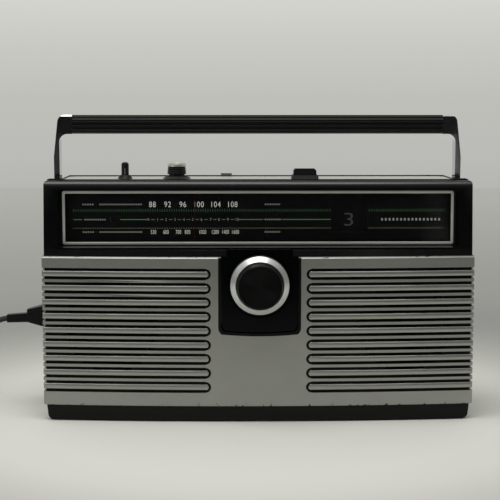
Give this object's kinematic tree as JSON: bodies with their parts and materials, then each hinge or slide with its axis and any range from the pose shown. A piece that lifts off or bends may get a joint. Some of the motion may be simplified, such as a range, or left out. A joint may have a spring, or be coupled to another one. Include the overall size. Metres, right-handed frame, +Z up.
{
  "type": "portable radio and 8 track tape player",
  "caption": "Portable 8 track player and radio: silver ribbed front, black housing, tuning dial with knob, folding handle, rod aerial and mains cord.",
  "frame": {"origin": "on the table, under the middle of the player without its cord", "axes": "+Z up, +X to the viewer's right, the dial faces -Y"},
  "size_m": [0.5765, 0.259, 0.2862],
  "materials": {
    "black_moulding": "gloss",
    "satin_moulding": "satin",
    "silver_paint": "satin",
    "bright_trim": "polished",
    "chrome_plate": "polished",
    "glass_sheet": "gloss",
    "pointer_red": "gloss",
    "plated_steel": "satin",
    "brass_part": "satin",
    "white_nylon": "satin",
    "black_rubber": "matte",
    "cord_vinyl": "satin",
    "paper_cone": "matte",
    "board_paper": "satin",
    "ferrite_core": "matte",
    "cord_thread": "matte",
    "silver_plastic": "satin"
  },
  "bodies": {
    "cabinet": {"front_frame": "black_moulding", "grille_panel": "silver_plastic", "escutcheon": "black_moulding", "dial_bezel": "bright_trim", "dial_glass": "glass_sheet", "dial_plate": "satin_moulding", "pointer_rail": "plated_steel", "dial_cord": "cord_thread", "tuning_chassis": "plated_steel", "tuning_capacitor": "plated_steel", "program_display": "satin_moulding", "rear_cabinet": "satin_moulding", "base_pan": "satin_moulding", "feet": "black_rubber", "top_plate": "silver_paint", "control_collars": "satin_moulding", "selector_switch": "plated_steel", "volume_pot": "plated_steel", "program_switch": "satin_moulding", "handle_pivots": "plated_steel", "antenna_mount": "plated_steel", "speaker_left": "paper_cone", "speaker_right": "paper_cone", "main_board": "board_paper", "ferrite_rod": "ferrite_core", "power_transformer": "plated_steel", "battery_box": "satin_moulding", "ac_inlet": "satin_moulding", "cartridge_bay": "plated_steel", "door_pin": "plated_steel", "deck_plate": "plated_steel", "drive_motor": "plated_steel", "drive_belt": "black_rubber", "ac_connector": "cord_vinyl", "power_cord": "cord_vinyl", "cord_coil": "cord_vinyl", "mains_plug": "cord_vinyl"},
    "handle": {"handle_arm_left": "chrome_plate", "handle_arm_right": "chrome_plate", "handle_grip": "satin_moulding"},
    "tuning": {"tuning_shaft": "plated_steel", "tuning_knob_ring": "bright_trim", "tuning_knob_cap": "satin_moulding"},
    "pointer": {"dial_pointer": "pointer_red"},
    "drum": {"tuning_drum": "white_nylon"},
    "pulley_left": {"cord_pulley_left": "white_nylon"},
    "pulley_right": {"cord_pulley_right": "white_nylon"},
    "selector": {"selector_post": "satin_moulding"},
    "volume": {"volume_knob": "satin_moulding"},
    "program": {"program_button": "satin_moulding"},
    "rod_base": {"antenna_rod_1": "chrome_plate"},
    "rod_second": {"antenna_rod_2": "chrome_plate"},
    "rod_third": {"antenna_rod_3": "chrome_plate"},
    "rod_tip": {"antenna_rod_4": "chrome_plate"},
    "lid": {"battery_lid": "satin_moulding"},
    "slot_door": {"cartridge_door": "satin_moulding"},
    "flywheel": {"capstan_flywheel": "plated_steel"},
    "drive_pulley": {"motor_pulley": "brass_part"},
    "head": {"tape_head": "plated_steel"},
    "cam": {"program_cam": "white_nylon"}
  },
  "joints": [
    {"name": "handle_fold", "type": "hinge", "parent": "cabinet", "child": "handle", "pos_m": [0, 0.0115, 0.1906], "axis": [-1, 0, 0], "range_deg": [0, 95]},
    {"name": "tuning_turn", "type": "hinge", "parent": "cabinet", "child": "tuning", "pos_m": [0.001, -0.0435, 0.1299], "axis": [0, 1, 0], "range_deg": [-555, 501.5]},
    {"name": "pointer_travel", "type": "slide", "parent": "cabinet", "child": "pointer", "axis": [1, 0, 0], "range_m": [-0.0436, 0.0394]},
    {"name": "drum_turn", "type": "hinge", "parent": "cabinet", "child": "drum", "pos_m": [0.06, -0.0165, 0.1456], "axis": [0, 1, 0], "range_deg": [-94.5, 85.5]},
    {"name": "pulley_left_turn", "type": "hinge", "parent": "cabinet", "child": "pulley_left", "pos_m": [-0.17, -0.0165, 0.201], "axis": [0, 1, 0], "range_deg": [-373.5, 338]},
    {"name": "pulley_right_turn", "type": "hinge", "parent": "cabinet", "child": "pulley_right", "pos_m": [0.15, -0.0165, 0.201], "axis": [0, 1, 0], "range_deg": [-373.5, 338]},
    {"name": "selector_turn", "type": "hinge", "parent": "cabinet", "child": "selector", "pos_m": [-0.1284, 0.0165, 0.2256], "axis": [0, 0, 1], "range_deg": [-60, 60]},
    {"name": "volume_turn", "type": "hinge", "parent": "cabinet", "child": "volume", "pos_m": [-0.0783, 0.0165, 0.2276], "axis": [0, 0, 1], "range_deg": [-150, 150]},
    {"name": "program_press", "type": "slide", "parent": "cabinet", "child": "program", "axis": [0, 0, -1], "range_m": [0, 0.0035], "stiffness_N_per_m": 250, "springref_m": -0.002},
    {"name": "rod_tilt", "type": "hinge", "parent": "cabinet", "child": "rod_base", "pos_m": [0.175, 0.0669, 0.2226], "axis": [0, 1, 0], "range_deg": [0, 90]},
    {"name": "rod_slide_2", "type": "slide", "parent": "rod_base", "child": "rod_second", "axis": [-1, 0, 0], "range_m": [0, 0.17]},
    {"name": "rod_slide_3", "type": "slide", "parent": "rod_second", "child": "rod_third", "axis": [-1, 0, 0], "range_m": [0, 0.17]},
    {"name": "rod_slide_4", "type": "slide", "parent": "rod_third", "child": "rod_tip", "axis": [-1, 0, 0], "range_m": [0, 0.17]},
    {"name": "lid_open", "type": "hinge", "parent": "cabinet", "child": "lid", "pos_m": [-0.058, 0.0732, 0.0243], "axis": [-1, 0, 0], "range_deg": [0, 80]},
    {"name": "door_swing", "type": "hinge", "parent": "cabinet", "child": "slot_door", "pos_m": [0.1945, 0.0448, 0.0956], "axis": [0, 0, -1], "range_deg": [0, 88], "stiffness_Nm_per_rad": 0.02, "springref_deg": -11.46},
    {"name": "capstan_spin", "type": "hinge", "parent": "cabinet", "child": "flywheel", "pos_m": [0.101, 0.0445, 0.1206], "axis": [0, 1, 0], "continuous": true},
    {"name": "motor_spin", "type": "hinge", "parent": "cabinet", "child": "drive_pulley", "pos_m": [0.082, 0.0445, 0.0616], "axis": [0, 1, 0], "continuous": true},
    {"name": "cam_turn", "type": "hinge", "parent": "cabinet", "child": "cam", "pos_m": [0.084, 0.0325, 0.0956], "axis": [0, 1, 0], "range_deg": [0, 270]},
    {"name": "head_shift", "type": "slide", "parent": "cabinet", "child": "head", "axis": [0, 1, 0], "range_m": [0, 0.0024]}
  ],
  "couplings": [
    {"joint": "pointer_travel", "follows": "tuning_turn", "m_per_rad": 0.0045},
    {"joint": "drum_turn", "follows": "tuning_turn", "ratio": 0.16981},
    {"joint": "pulley_left_turn", "follows": "tuning_turn", "ratio": 0.67164},
    {"joint": "pulley_right_turn", "follows": "tuning_turn", "ratio": 0.67164},
    {"joint": "motor_spin", "follows": "capstan_spin", "ratio": 6},
    {"joint": "cam_turn", "follows": "head_shift", "rad_per_m": 1963}
  ]
}
